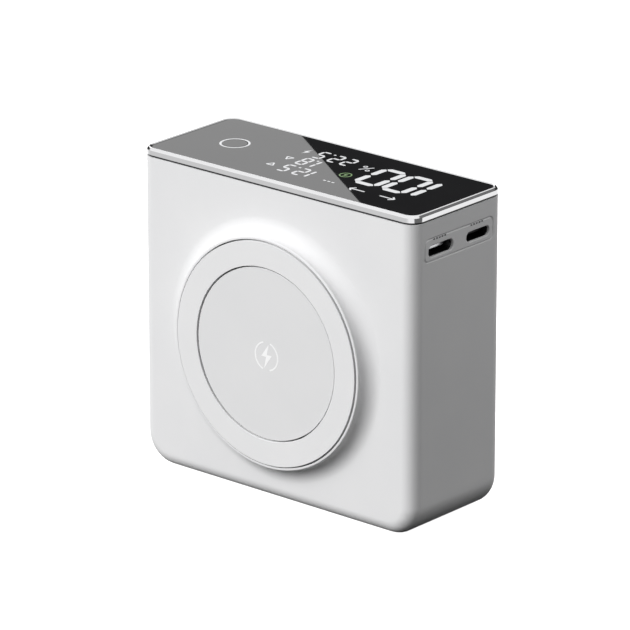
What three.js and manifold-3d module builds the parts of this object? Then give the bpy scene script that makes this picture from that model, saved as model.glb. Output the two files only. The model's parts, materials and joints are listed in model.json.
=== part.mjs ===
// Box-shaped power bank: a round wireless charging pad on the front, two USB-C ports on the right
// side, and a display with a push button on the top.
// Millimetres. X runs to the right, Y to the back, Z up. The origin is the middle of the base.
import * as THREE from "three";
import { mergeVertices } from "three/addons/utils/BufferGeometryUtils.js";
import Module from "manifold-3d";

const wasm = await Module();
wasm.setup();

// ---- Driving dimensions ----

const bodyWidth = 85;
const bodyDepth = 33;
const bodyHeight = 80.2;
const edgeRadius = 3.5;
const lowerCornerRadius = 7.9;
const wall = 2;
const clearance = 0.1;

const sideX = bodyWidth / 2;
const faceY = bodyDepth / 2;
const rimZ = 78; // the housing's open top edge
const frameBaseZ = 78.5;
const frameWidth = 1.1;
const lensTopZ = 79.95;
const lensThickness = 1.2;

const padCentreZ = 38.05;
const bossBaseRadius = 33;
const bossRadius = 28.75;
const bossHeight = 3.44;
const padHeight = 3.74;
const padRadius = 27.74;
const padDiscRadius = 21.5;

const portPlateZ = 70.85;
const portZ = 70.5;
const portCentresY = { left: -6.65, right: 6.92 };
const portShellSize = { width: 8.94, height: 3.16, length: 8 };
const portDepth = 0.8; // from the side face in to the mouth of a port's shell
const tongueDepth = 1.4; // from the shell's mouth in to the contact tongue
const tongueThickness = 0.56;

const buttonCentre = { x: -27.3, y: 0.35 };
const buttonRadius = 3.2;
const lightRingRadius = 3.77;
const buttonTravel = 0.35;

const mainBoardZ = 67.85; // underside of the main board
const displayBoardZ = 75.4; // underside of the display board
const boardThickness = 1;

const roundSteps = 72;
const smallSteps = 24;

// ---- Finishes ----

const finishes = {
  whitePlastic: { color: 0xe9e9ea, roughness: 0.45, metalness: 0 },
  padPlastic: { color: 0xe6e6e7, roughness: 0.55, metalness: 0 },
  chrome: { color: 0xd8d9dc, roughness: 0.08, metalness: 1 },
  blackGloss: { color: 0x0b0b0d, roughness: 0.06, metalness: 0 },
  blackPlastic: { color: 0x17171a, roughness: 0.5, metalness: 0 },
  lightGuide: { color: 0xf4f4f4, roughness: 0.4, metalness: 0 },
  circuitBoard: { color: 0x14472f, roughness: 0.5, metalness: 0 },
  chip: { color: 0x1b1b1d, roughness: 0.55, metalness: 0 },
  steel: { color: 0xb9bcc0, roughness: 0.3, metalness: 1 },
  copper: { color: 0xb8703c, roughness: 0.35, metalness: 1 },
  ferrite: { color: 0x35353a, roughness: 0.7, metalness: 0 },
  foil: { color: 0xc2c4c8, roughness: 0.4, metalness: 1 },
  foam: { color: 0x3a3a3c, roughness: 0.95, metalness: 0 },
  flex: { color: 0xb8792a, roughness: 0.5, metalness: 0 },
};

const powerBank = new THREE.Group();

function addPiece(name, geometry, finishName, parent = powerBank) {
  const mesh = new THREE.Mesh(geometry, new THREE.MeshStandardMaterial(finishes[finishName]));
  mesh.name = name;
  parent.add(mesh);
}

// ---- Joining and cutting ----

function solidOf(geometry) {
  const bare = geometry.clone();
  bare.deleteAttribute("normal");
  bare.deleteAttribute("uv");
  const merged = mergeVertices(bare, 1e-4);
  const vertProperties = merged.attributes.position.array;
  const triVerts = new Uint32Array(merged.index.array);
  return new wasm.Manifold(new wasm.Mesh({ numProp: 3, vertProperties, triVerts }));
}

// The base geometry with the pieces in `add` joined to it and those in `cut` taken away.
function shaped(base, { add = [], cut = [] }) {
  let solid = solidOf(base);
  for (const piece of add) solid = solid.add(solidOf(piece));
  for (const piece of cut) solid = solid.subtract(solidOf(piece));
  const { vertProperties, triVerts } = solid.getMesh();
  const geometry = new THREE.BufferGeometry();
  geometry.setAttribute("position", new THREE.BufferAttribute(vertProperties, 3));
  geometry.setIndex(new THREE.BufferAttribute(triVerts, 1));
  geometry.computeVertexNormals();
  return geometry;
}

// ---- Basic shapes ----

// A rectangle with its own radius for the lower and the upper corners.
function roundedRectangle(width, height, radius, centre = { x: 0, y: 0 }, upperRadius = radius) {
  const left = centre.x - width / 2;
  const right = centre.x + width / 2;
  const low = centre.y - height / 2;
  const high = centre.y + height / 2;
  const shape = new THREE.Shape();
  shape.moveTo(left + radius, low);
  shape.absarc(right - radius, low + radius, radius, -Math.PI / 2, 0);
  if (upperRadius > 0) {
    shape.absarc(right - upperRadius, high - upperRadius, upperRadius, 0, Math.PI / 2);
    shape.absarc(left + upperRadius, high - upperRadius, upperRadius, Math.PI / 2, Math.PI);
  } else {
    shape.lineTo(right, high);
    shape.lineTo(left, high);
  }
  shape.absarc(left + radius, low + radius, radius, Math.PI, 1.5 * Math.PI);
  return shape;
}

// World directions of a shape's x and y and of its extrusion, for each plane it can be drawn in.
const planes = {
  xy: [new THREE.Vector3(1, 0, 0), new THREE.Vector3(0, 1, 0), new THREE.Vector3(0, 0, 1)],
  xz: [new THREE.Vector3(1, 0, 0), new THREE.Vector3(0, 0, 1), new THREE.Vector3(0, -1, 0)],
  yz: [new THREE.Vector3(0, 1, 0), new THREE.Vector3(0, 0, 1), new THREE.Vector3(1, 0, 0)],
};

// Extrudes a shape between two positions on the axis across its plane. `round` is the radius of
// the edges at both ends, made with `steps` facets, so one step gives a chamfer.
function extruded(shape, plane, from, to, { round = 0, steps = 1, curveSegments = 6 } = {}) {
  const low = plane === "xz" ? -to : from;
  const geometry = new THREE.ExtrudeGeometry(shape, {
    depth: to - from - 2 * round,
    bevelEnabled: round > 0,
    bevelThickness: round,
    bevelSize: round,
    bevelOffset: -round,
    bevelSegments: steps,
    curveSegments,
  });
  geometry.translate(0, 0, low + round);
  return geometry.applyMatrix4(new THREE.Matrix4().makeBasis(...planes[plane]));
}

function block(x, y, z) {
  const geometry = new THREE.BoxGeometry(x[1] - x[0], y[1] - y[0], z[1] - z[0]);
  return geometry.translate((x[0] + x[1]) / 2, (y[0] + y[1]) / 2, (z[0] + z[1]) / 2);
}

// A closed profile of [radius, height] points, listed upwards on the outside, turned about Z.
function turned(profile, steps = smallSteps) {
  const points = profile.map(([radius, height]) => new THREE.Vector2(radius, height));
  return new THREE.LatheGeometry(points, steps).rotateX(Math.PI / 2);
}

function disc(radius, low, high, steps = smallSteps) {
  return turned([[0, low], [radius, low], [radius, high], [0, high]], steps);
}

function ring(inner, outer, low, high, steps = smallSteps) {
  return turned([[inner, low], [outer, low], [outer, high], [inner, high], [inner, low]], steps);
}

// A flat strip of even thickness whose centre line runs through points in the YZ plane.
function strip(points, thickness, xFrom, xTo) {
  const half = thickness / 2;
  const left = [];
  const right = [];
  points.forEach(([y, z], index) => {
    const before = points[Math.max(index - 1, 0)];
    const after = points[Math.min(index + 1, points.length - 1)];
    const along = new THREE.Vector2(after[0] - before[0], after[1] - before[1]).normalize();
    left.push(new THREE.Vector2(y - along.y * half, z + along.x * half));
    right.unshift(new THREE.Vector2(y + along.y * half, z - along.x * half));
  });
  return extruded(new THREE.Shape([...left, ...right]), "yz", xFrom, xTo);
}

// ---- Where the pieces are screwed together ----

const screwShankRadius = 0.75;
const screwHoleRadius = 0.95;
const carrierScrewPlaces = [[-36.8, -9.5], [-36.8, 9.5], [36.8, 0.1]]; // the last is between the ports
const carrierBlockWidth = 4;
const boardScrewPlaces = [[-31, -11], [-31, 11], [29, -11], [29, 11]];

function screw(seatZ, shankLength) {
  const headRadius = 1.5;
  const headHeight = 0.8;
  return turned([
    [0, seatZ - shankLength],
    [screwShankRadius * 0.6, seatZ - shankLength],
    [screwShankRadius, seatZ - shankLength + 0.6],
    [screwShankRadius, seatZ],
    [headRadius, seatZ],
    [headRadius, seatZ + headHeight * 0.5],
    [headRadius * 0.75, seatZ + headHeight],
    [0, seatZ + headHeight],
  ], 12);
}

function screwHoles(places, low, high) {
  return places.map(([x, y]) => disc(screwHoleRadius, low, high, 12).translate(x, y, 0));
}

// A mounting block under each carrier screw, reaching to the nearest side wall at `reachX`.
function carrierBlocks(reachX, low, high) {
  return carrierScrewPlaces.map(([x, y]) => {
    const side = Math.sign(x);
    const span = [side * 34.7, side * reachX].sort((a, b) => a - b);
    return block(span, [y - carrierBlockWidth / 2, y + carrierBlockWidth / 2], [low, high]);
  });
}

// ---- Housing: shell with the round boss, rear cover and port plate ----

const padAxis = new THREE.Group();
padAxis.position.set(0, -faceY, padCentreZ);
padAxis.rotation.x = Math.PI / 2; // its Z points straight out of the front face
padAxis.updateMatrix();
powerBank.add(padAxis);

const coverSide = 38.65; // half width of the rear cover's recess
const coverLowZ = edgeRadius + 0.35;
const coverHighZ = 74.25;
const coverFloorY = faceY - 1.9;
const ledgeY = coverFloorY - 1.2;
const portPlateThickness = 0.7;

// The front view of the shell, drawn smaller by `inset`. Its square top runs past the rim.
function bodyOutline(inset) {
  const low = inset;
  const high = rimZ + 8;
  const centre = { x: 0, y: (low + high) / 2 };
  return roundedRectangle(bodyWidth - 2 * inset, high - low, lowerCornerRadius - inset, centre, 0);
}

function rearOutline(inset) {
  const width = 2 * (coverSide - inset);
  const height = coverHighZ - coverLowZ - 2 * inset;
  return roundedRectangle(width, height, 4.05 - inset, { x: 0, y: (coverLowZ + coverHighZ) / 2 });
}

function topOutline(inset, radius) {
  return roundedRectangle(bodyWidth - 2 * inset, bodyDepth - 2 * inset, radius);
}

function portPlateOutline(inset) {
  const size = { width: 25, height: 5.6 };
  const centre = { x: 0, y: portPlateZ };
  return roundedRectangle(size.width - 2 * inset, size.height - 2 * inset, 1.3 - inset, centre);
}

// The boss flares from the front face in a hollow quarter of an ellipse and ends in a narrow lip.
function bossProfile() {
  const coveSteps = 8;
  const lipRound = 0.25;
  const points = [[0, -wall / 2], [bossBaseRadius, -wall / 2]];
  for (let step = 0; step <= coveSteps; step += 1) {
    const angle = (Math.PI / 2) * (step / coveSteps);
    const radius = bossBaseRadius - (bossBaseRadius - bossRadius) * Math.sin(angle);
    points.push([radius, (bossHeight - lipRound) * (1 - Math.cos(angle))]);
  }
  points.push([bossRadius - lipRound, bossHeight], [0, bossHeight]);
  return points;
}

function frontHousing() {
  const outer = extruded(bodyOutline(0), "xz", -faceY, faceY, { round: edgeRadius, steps: 5 });
  const boss = turned(bossProfile(), roundSteps).applyMatrix4(padAxis.matrix);
  const ribs = [-1, 1].map((side) => {
    const span = [side * 38.4, side * (sideX - wall + 0.3)].sort((a, b) => a - b);
    return block(span, [-9, 9], [64.6, 65.8]);
  });
  const cavity = extruded(bodyOutline(wall), "xz", wall - faceY, ledgeY, { round: 1.5, steps: 2 });
  const mouth = extruded(topOutline(wall, 2), "xy", 74.9, rimZ + 1);
  const pocket = disc(padRadius + 0.2, 0.1, bossHeight + 1, roundSteps);
  const portHoles = Object.values(portCentresY).map((y) => {
    const outline = roundedRectangle(9.9, 3.8, 1.8, { x: y, y: portZ });
    return extruded(outline, "yz", sideX - wall - 1, sideX);
  });
  const shell = shaped(outer, {
    add: [boss],
    cut: [
      block([-60, 60], [-60, 60], [rimZ, rimZ + 20]),
      cavity,
      mouth,
      extruded(rearOutline(1.4), "xz", ledgeY - 1, faceY + 1),
      extruded(rearOutline(0), "xz", coverFloorY, faceY + 1),
      pocket.applyMatrix4(padAxis.matrix),
      block([-3, 3], [-faceY - 1, wall - faceY + 1], [padCentreZ + 21.3, padCentreZ + 22.9]),
      extruded(portPlateOutline(0), "yz", sideX - portPlateThickness - clearance, sideX + 1),
      ...portHoles,
    ],
  });
  return shaped(shell, {
    add: [...ribs, ...carrierBlocks(sideX - wall + 0.3, 69.9, 74.2)],
    cut: screwHoles(carrierScrewPlaces, 70.6, 75),
  });
}

// A plate that drops into the recess in the back, with a locating rim that enters the opening.
function rearCover() {
  const rimThickness = 1.2;
  const plate = extruded(rearOutline(clearance), "xz", coverFloorY + 0.05, faceY);
  const rim = shaped(extruded(rearOutline(1.6), "xz", coverFloorY - 0.8, coverFloorY + 0.5), {
    cut: [extruded(rearOutline(1.6 + rimThickness), "xz", coverFloorY - 2, coverFloorY + 1)],
  });
  return shaped(plate, { add: [rim] });
}

function portPlate() {
  const plate = extruded(portPlateOutline(clearance), "yz", sideX - portPlateThickness, sideX);
  const openings = {
    left: roundedRectangle(8.9, 2.8, 1.2, { x: portCentresY.left, y: portZ }),
    right: roundedRectangle(8.4, 2.5, 1.2, { x: portCentresY.right, y: portZ }),
  };
  return shaped(plate, {
    cut: Object.values(openings).map((hole) => extruded(hole, "yz", sideX - 2, sideX + 1)),
  });
}

addPiece("front_housing", frontHousing(), "whitePlastic");
addPiece("rear_cover", rearCover(), "whitePlastic");
addPiece("port_plate", portPlate(), "whitePlastic");

// ---- Wireless charging pad, built outwards from the floor of the boss ----

function padRing() {
  const inner = padDiscRadius + 0.15;
  const chamfer = 0.25;
  return turned([
    [inner, 2.1],
    [padRadius, 2.1],
    [padRadius, padHeight - chamfer],
    [padRadius - chamfer, padHeight],
    [inner + chamfer / 2, padHeight],
    [inner, padHeight - chamfer / 2],
    [inner, 2.1],
  ], roundSteps);
}

function padDisc() {
  const chamfer = 0.12;
  return turned([
    [0, 2.1],
    [padDiscRadius, 2.1],
    [padDiscRadius, bossHeight - chamfer],
    [padDiscRadius - chamfer, bossHeight],
    [0, bossHeight],
  ], roundSteps);
}

// The magnets' ring is open at the top, where the coil's lead comes out.
function magnetRing() {
  return shaped(ring(23.2, 27.3, 0.3, 1.9, 48), { cut: [block([-4, 4], [15, 30], [-1, 3])] });
}

addPiece("pad_ring", padRing(), "padPlastic", padAxis);
addPiece("pad_disc", padDisc(), "padPlastic", padAxis);
addPiece("magnet_ring", magnetRing(), "steel", padAxis);
addPiece("charging_coil", ring(9.5, 20.6, 0.95, 1.9, 48), "copper", padAxis);
addPiece("ferrite_sheet", disc(20.9, 0.15, 0.8, 48), "ferrite", padAxis);

function coilLead() {
  const route = [
    [-17.95, 59.35],
    [-17.5, 60.0],
    [-16.9, 60.2],
    [-14.5, 60.25],
    [-14.15, 60.7],
    [-14.05, 61.4],
    [-14.05, 66.8],
    [-13.9, 67.4],
    [-13.4, 67.6],
    [-11.2, 67.6],
  ];
  return strip(route, 0.25, -2.4, 2.4);
}

addPiece("coil_lead", coilLead(), "flex");

// ---- Top: chrome frame, lens, display and its carrier ----

const flangeOutline = topOutline(0.25, 3.3);
const skirtOutline = topOutline(wall + 0.2, 1.8);
const skirtThickness = 1.5;

function topFrame() {
  const belowBase = 2;
  const band = extruded(topOutline(0, edgeRadius), "xy", frameBaseZ - belowBase, bodyHeight, {
    round: 0.5,
  });
  return shaped(band, {
    cut: [
      extruded(topOutline(frameWidth, 2.4), "xy", frameBaseZ - belowBase - 1, bodyHeight + 1),
      block([-60, 60], [-60, 60], [frameBaseZ - 10, frameBaseZ]),
    ],
  });
}

function displayLens() {
  const plate = extruded(topOutline(frameWidth + 0.1, 2.3), "xy", lensTopZ - lensThickness, lensTopZ, {
    round: 0.1,
  });
  const buttonHole = disc(lightRingRadius + 0.05, lensTopZ - 2, lensTopZ + 1, 48);
  return shaped(plate, { cut: [buttonHole.translate(buttonCentre.x, buttonCentre.y, 0)] });
}

function lensGasket() {
  const outline = topOutline(frameWidth + 0.3, 2.1);
  outline.holes.push(topOutline(3.1, 1));
  return extruded(outline, "xy", 78.48, 78.72, { curveSegments: 3 });
}

// The flange rests on the housing's rim and shows as the dark line under the chrome frame.
function displayCarrier() {
  const flangeBase = rimZ + 0.02;
  const skirtHole = topOutline(wall + 0.2 + skirtThickness, 0.6);
  return shaped(extruded(flangeOutline, "xy", flangeBase, frameBaseZ - 0.05), {
    add: [
      extruded(skirtOutline, "xy", 75.2, flangeBase + 0.2),
      ...carrierBlocks(sideX - wall - 0.3, 74.3, 75.3),
    ],
    cut: [
      extruded(skirtHole, "xy", 75.3, frameBaseZ + 1),
      ...[-1, 1].map((side) => block([side * 20 - 13, side * 20 + 13], [-12, 12], [74, 76])),
      ...screwHoles(carrierScrewPlaces, 74, 76),
    ],
  });
}

function displayBoard() {
  const outline = roundedRectangle(76.4, 24.8, 1);
  const board = extruded(outline, "xy", displayBoardZ, displayBoardZ + boardThickness);
  return shaped(board, { cut: screwHoles(carrierScrewPlaces, displayBoardZ - 1, 78) });
}

// White block with one light well behind each line of figures.
function lightGuide() {
  const guide = extruded(roundedRectangle(47, 23, 1, { x: 10.5, y: 0 }), "xy", 76.45, 78.6);
  const wells = [
    [[12, 32], [-4, 9]],
    [[-12, 6], [3.4, 9.6]],
    [[-12, 6], [-3, 3]],
    [[-12, 6], [-9.8, -3.6]],
  ];
  return shaped(guide, { cut: wells.map(([x, y]) => block(x, y, [76, 77.8])) });
}

addPiece("top_frame", topFrame(), "chrome");
addPiece("display_lens", displayLens(), "blackGloss");
addPiece("lens_gasket", lensGasket(), "foam");
addPiece("display_carrier", displayCarrier(), "blackPlastic");
addPiece("display_board", displayBoard(), "circuitBoard");
addPiece("light_guide", lightGuide(), "lightGuide");
carrierScrewPlaces.forEach(([x, y], index) => {
  const seatZ = displayBoardZ + boardThickness + 0.05;
  addPiece(`carrier_screw_${index + 1}`, screw(seatZ, 5).translate(x, y, 0), "steel");
});

// ---- Power button: cap in a light ring, pressing a switch on the display board ----

const buttonAxis = new THREE.Group();
buttonAxis.position.set(buttonCentre.x, buttonCentre.y, 0);
powerBank.add(buttonAxis);

const switchBaseZ = displayBoardZ + boardThickness + 0.02;
const capFlangeZ = switchBaseZ + 1.4;

function powerButton() {
  const flangeRadius = 4.2;
  const chamfer = 0.1;
  return turned([
    [0, capFlangeZ],
    [flangeRadius, capFlangeZ],
    [flangeRadius, capFlangeZ + 0.5],
    [buttonRadius, capFlangeZ + 0.5],
    [buttonRadius, lensTopZ - chamfer],
    [buttonRadius - chamfer, lensTopZ],
    [0, lensTopZ],
  ], 48);
}

function buttonSwitch() {
  const size = 2.6;
  return shaped(block([-size, size], [-size, size], [switchBaseZ, switchBaseZ + 1]), {
    cut: [disc(1.3, switchBaseZ - 1, switchBaseZ + 2, 16)],
  });
}

const plungerLowZ = switchBaseZ + buttonTravel + 0.1;
const lightRing = ring(buttonRadius + 0.08, lightRingRadius, lensTopZ - lensThickness, lensTopZ, 48);
addPiece("power_button", powerButton(), "blackGloss", buttonAxis);
addPiece("button_light_ring", lightRing, "lightGuide", buttonAxis);
addPiece("button_switch", buttonSwitch(), "chip", buttonAxis);
addPiece("switch_plunger", disc(1.1, plungerLowZ, capFlangeZ - 0.05, 16), "steel", buttonAxis);

// ---- Main board with its ports and components ----

const boardTopZ = mainBoardZ + boardThickness;
const componentZ = boardTopZ + 0.02;

function mainBoard() {
  const outline = roundedRectangle(79, 26, 1, { x: 0.4, y: 0 });
  return shaped(extruded(outline, "xy", mainBoardZ, boardTopZ), {
    cut: screwHoles(boardScrewPlaces, mainBoardZ - 1, boardTopZ + 1),
  });
}

// Tray above the cells that carries the main board on four standoffs.
function boardTray() {
  const trayTopZ = 67.1;
  const standoffs = boardScrewPlaces.map(([x, y]) =>
    disc(1.8, trayTopZ - 0.5, mainBoardZ - 0.05, 16).translate(x, y, 0));
  const tabSlots = [-7, 7].flatMap((y) =>
    [-12, 12].map((x) => block([x - 4, x + 4], [y - 1, y + 1], [65, 68])));
  const tray = extruded(roundedRectangle(80, 25.6, 1.2), "xy", 65.9, trayTopZ);
  return shaped(tray, {
    add: standoffs,
    cut: [...tabSlots, ...screwHoles(boardScrewPlaces, 65, 69)],
  });
}

addPiece("main_board", mainBoard(), "circuitBoard");
addPiece("board_tray", boardTray(), "blackPlastic");
boardScrewPlaces.forEach(([x, y], index) => {
  addPiece(`board_screw_${index + 1}`, screw(boardTopZ + 0.05, 3).translate(x, y, 0), "steel");
});

// A USB-C receptacle: a stamped shell, open to the front, around a contact tongue.
function portShell(y) {
  const { width, height, length } = portShellSize;
  const frontX = sideX - portDepth;
  const centre = { x: y, y: portZ };
  const outline = roundedRectangle(width, height, 1.5, centre);
  outline.holes.push(roundedRectangle(width - 0.6, height - 0.6, 1.2, centre));
  return extruded(outline, "yz", frontX - length, frontX);
}

function portTongue(y) {
  const mouthX = sideX - portDepth;
  const backX = mouthX - portShellSize.length + 0.1;
  const base = roundedRectangle(8.1, 2.3, 1.1, { x: y, y: portZ });
  const tongueX = [backX + 1, mouthX - tongueDepth];
  const tongueZ = [portZ - tongueThickness / 2, portZ + tongueThickness / 2];
  const tongue = block(tongueX, [y - 3.35, y + 3.35], tongueZ);
  return shaped(extruded(base, "yz", backX, backX + 1.4), { add: [tongue] });
}

const tongueFinishes = { left: "steel", right: "blackPlastic" };
for (const [side, y] of Object.entries(portCentresY)) {
  addPiece(`port_shell_${side}`, portShell(y), "steel");
  addPiece(`port_tongue_${side}`, portTongue(y), tongueFinishes[side]);
}

// A flat chip or block standing on the main board.
function component(centre, size, height) {
  const outline = roundedRectangle(size.x, size.y, 0.4, centre);
  return extruded(outline, "xy", componentZ, componentZ + height, { curveSegments: 2 });
}

function capacitor(x, y) {
  const top = componentZ + 5.2;
  const profile = [[0, componentZ], [2.5, componentZ], [2.5, top - 0.3], [2.2, top], [0, top]];
  return turned(profile, 20).translate(x, y, 0);
}

addPiece("power_inductor", component({ x: 6, y: 4 }, { x: 7.5, y: 7.5 }, 4), "ferrite");
addPiece("power_chip", component({ x: 17, y: 3 }, { x: 6, y: 6 }, 0.9), "chip");
addPiece("charger_chip", component({ x: -8, y: -3 }, { x: 5, y: 5 }, 0.9), "chip");
[[20, -8.5], [13, -8.5], [6, -8.5]].forEach(([x, y], index) => {
  addPiece(`capacitor_${index + 1}`, capacitor(x, y), "foil");
});

// The display's flat cable stands between the two boards, in a socket on the lower one.
const cableY = 8.5;
const socket = shaped(component({ x: -18, y: cableY }, { x: 11, y: 3 }, 1.2), {
  cut: [block([-22.6, -13.4], [cableY - 0.3, cableY + 0.3], [componentZ + 0.4, componentZ + 3])],
});
const cableRoute = [
  [cableY, componentZ + 0.5],
  [cableY, 71],
  [cableY + 1.5, 72.5],
  [cableY + 1.5, displayBoardZ - 0.1],
];
addPiece("display_cable_socket", socket, "lightGuide");
addPiece("display_cable", strip(cableRoute, 0.2, -22.4, -13.6), "flex");

// ---- Cells, packed between foam sheets ----

const cellWidth = 73;
const cellHeight = 60;
const cellThickness = 12.6;
const foamThickness = 0.8;
const cellLowZ = 3.4;

function foamSheet(rearY) {
  const height = 50;
  const outline = roundedRectangle(66, height, 2, { x: 0, y: cellLowZ + 3.4 + height / 2 });
  return extruded(outline, "xz", rearY - foamThickness, rearY, { curveSegments: 2 });
}

// A pouch cell with softly rounded edges and a sealed strip along its top.
function pouchCell(frontY) {
  const bodyHeightZ = cellHeight - 3;
  const centre = { x: 0, y: cellLowZ + bodyHeightZ / 2 };
  const outline = roundedRectangle(cellWidth, bodyHeightZ, 4, centre);
  const pouch = extruded(outline, "xz", frontY, frontY + cellThickness, {
    round: 2.5,
    steps: 3,
    curveSegments: 4,
  });
  const middleY = frontY + cellThickness / 2;
  const seal = block([-33, 33], [middleY - 0.3, middleY + 0.3], [cellLowZ + 50, cellLowZ + cellHeight]);
  return shaped(pouch, { add: [seal] });
}

const cellFrontsY = { front: -13.45, rear: 0.35 };
for (const [place, frontY] of Object.entries(cellFrontsY)) {
  addPiece(`${place}_cell`, pouchCell(frontY), "foil");
  const tabY = frontY + cellThickness / 2;
  for (const [pole, x] of Object.entries({ positive: -12, negative: 12 })) {
    const tabZ = [cellLowZ + cellHeight + 0.05, mainBoardZ - 0.05];
    const tab = block([x - 3, x + 3], [tabY - 0.1, tabY + 0.1], tabZ);
    addPiece(`${place}_${pole}_tab`, tab, "foil");
  }
}
addPiece("front_foam", foamSheet(-13.6), "foam");
addPiece("middle_foam", foamSheet(0.15), "foam");
addPiece("rear_foam", foamSheet(14), "foam");

export default powerBank;
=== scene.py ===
import json
import math

import bmesh
import bpy
from mathutils import Matrix, Vector


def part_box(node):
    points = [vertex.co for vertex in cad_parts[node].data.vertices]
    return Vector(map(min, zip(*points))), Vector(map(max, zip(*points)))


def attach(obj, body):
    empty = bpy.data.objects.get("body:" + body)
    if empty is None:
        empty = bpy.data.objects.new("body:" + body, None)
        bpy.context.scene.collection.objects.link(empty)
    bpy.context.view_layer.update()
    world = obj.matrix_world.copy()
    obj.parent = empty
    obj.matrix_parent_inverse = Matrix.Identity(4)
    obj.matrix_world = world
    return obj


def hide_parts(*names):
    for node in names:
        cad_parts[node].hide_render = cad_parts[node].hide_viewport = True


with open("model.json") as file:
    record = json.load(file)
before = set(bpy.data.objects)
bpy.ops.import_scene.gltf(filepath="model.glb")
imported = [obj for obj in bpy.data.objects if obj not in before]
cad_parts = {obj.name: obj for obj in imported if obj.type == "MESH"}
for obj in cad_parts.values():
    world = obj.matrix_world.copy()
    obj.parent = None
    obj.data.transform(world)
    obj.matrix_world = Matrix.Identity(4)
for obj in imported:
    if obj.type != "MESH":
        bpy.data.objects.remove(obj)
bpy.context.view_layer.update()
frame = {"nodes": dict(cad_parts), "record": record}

# ---- Sizes in millimetres, read from the frame or given as driving dimensions ----

METRES = 0.001


def box_mm(node):
    """Lowest and highest corner of a CAD node at rest, in millimetres."""
    low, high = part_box(node)
    return [value / METRES for value in low], [value / METRES for value in high]


def port_centre(side):
    """The middle of a port in the side view, as (Y, Z)."""
    low, high = box_mm("port_shell_" + side)
    return (low[1] + high[1]) / 2, (low[2] + high[2]) / 2


shell_low, shell_high = box_mm("front_housing")
cover_low, cover_high = box_mm("rear_cover")
frame_low, frame_high = box_mm("top_frame")
lens_low, lens_high = box_mm("display_lens")
ring_low, ring_high = box_mm("pad_ring")
disc_low, disc_high = box_mm("pad_disc")
plate_low, plate_high = box_mm("port_plate")
light_low, light_high = box_mm("button_light_ring")
button_low, button_high = box_mm("power_button")

# Housing
SIDE_X = shell_high[0]
FACE_Y = frame_high[1]
RIM_Z = shell_high[2]
WALL = 2.0
EDGE_RADIUS = 3.5
INNER_EDGE_RADIUS = 1.5
LOWER_CORNER_RADIUS = 7.9
SQUARE_CORNER_RADIUS = 0.001
ABOVE_RIM = 8  # how far the shell runs past its rim before it is cut off there
MOUTH_FLOOR_Z = 74.9  # above this the housing is open over its full depth
MOUTH_CORNER_RADIUS = 2
EDGE_STEPS = 10
TOP_CORNER_STEPS = 24
PAST = 1  # how far a cutting tool runs past the face that it opens

# Rear cover
SMALL_CORNER_STEPS = 8
COVER_CORNER_RADIUS = 3.95
COVER_EDGE = 0.12
COVER_GAP = 0.12
COVER_SEAT_WIDTH = 1.3
COVER_SEAT_DEPTH = 0.75
COVER_RIM_DEPTH = 0.8
CAVITY_GAP = 0.4  # between the cavity's rear wall and the cover's locating rim

# Charging pad and its boss
PAD_Z = (ring_low[2] + ring_high[2]) / 2
PAD_RADIUS = (ring_high[0] - ring_low[0]) / 2
DISC_RADIUS = (disc_high[0] - disc_low[0]) / 2
PAD_HEIGHT = -FACE_Y - ring_low[1]
BOSS_HEIGHT = -FACE_Y - shell_low[1]
PAD_DEPTH = ring_high[1] - ring_low[1]
BOSS_RADIUS = 28.75
BOSS_BASE_RADIUS = 33.0
BOSS_LIP_RADIUS = 0.3
FLARE_STEPS = 24
LIP_STEPS = 5
POCKET_FLOOR = 0.1
POCKET_GAP = 0.34
POCKET_EDGE = 0.06
RING_GAP = 0.15
RING_EDGE = 0.08
DISC_GAP = 0.2
DISC_DEPTH = 1.3
DISC_EDGE = 0.06
ROUND_STEPS = 192
FINE_EDGE_STEPS = 4

# Top frame, lens and button
FRAME_WIDTH = 1.1
FRAME_EDGE = 0.05
CHAMFER_DEPTH = 0.62  # from the frame's top to the foot of its outer chamfer
CREASE = (0.42, 0.125)  # inset and depth below the top where the outer chamfer meets the gentler one
CREST_INSET = 0.7
LENS_GAP = 0.1
LENS_EDGE = 0.1
LENS_CORNER_RADIUS = 2.3
BUTTON_X = (button_low[0] + button_high[0]) / 2
BUTTON_Y = (button_low[1] + button_high[1]) / 2
LIGHT_RADIUS = (light_high[0] - light_low[0]) / 2
LIGHT_GAP = 0.05
LIGHT_EDGE = 0.05
CAP_RADIUS = 3.2
CAP_GAP = 0.08
CAP_EDGE = 0.08
CAP_FLANGE_DEPTH = 0.5
SMALL_ROUND_STEPS = 96

# Ports and their plate
PLATE_Z = (plate_low[2] + plate_high[2]) / 2
PLATE_CORNER_RADIUS = 1.2
PLATE_GAP = 0.05
PLATE_EDGE = 0.24  # chamfer on the plate and on its recess
PLATE_SEAT_GAP = 0.1
PORT_MOUTHS = {"left": (8.9, 2.8, 1.2), "right": (8.4, 2.5, 1.2)}  # width, height, corner radius
PORT_HOLE = (9.9, 3.8, 1.8)  # the same for the hole in the wall behind each mouth
MOUTH_EDGE = 0.15


# ---- Mesh making ----

PLANES = {
    "xy": lambda u, v, across: (u, v, across),
    "xz": lambda u, v, across: (u, across, v),
    "yz": lambda u, v, across: (across, u, v),
}
SAME_POINT_MM = 1e-5
SAME_POINT_METRES = 1e-6
SHARP_DEGREES = 32
FLAT_FACE_WEIGHT = 90


def new_object(name, builder):
    """A linked object from a bmesh whose coordinates are in millimetres."""
    bmesh.ops.remove_doubles(builder, verts=builder.verts, dist=SAME_POINT_MM)
    bmesh.ops.recalc_face_normals(builder, faces=builder.faces)
    bmesh.ops.scale(builder, vec=(METRES,) * 3, verts=builder.verts)
    mesh = bpy.data.meshes.new(name)
    builder.to_mesh(mesh)
    builder.free()
    made = bpy.data.objects.new(name, mesh)
    bpy.context.collection.objects.link(made)
    return made


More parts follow.
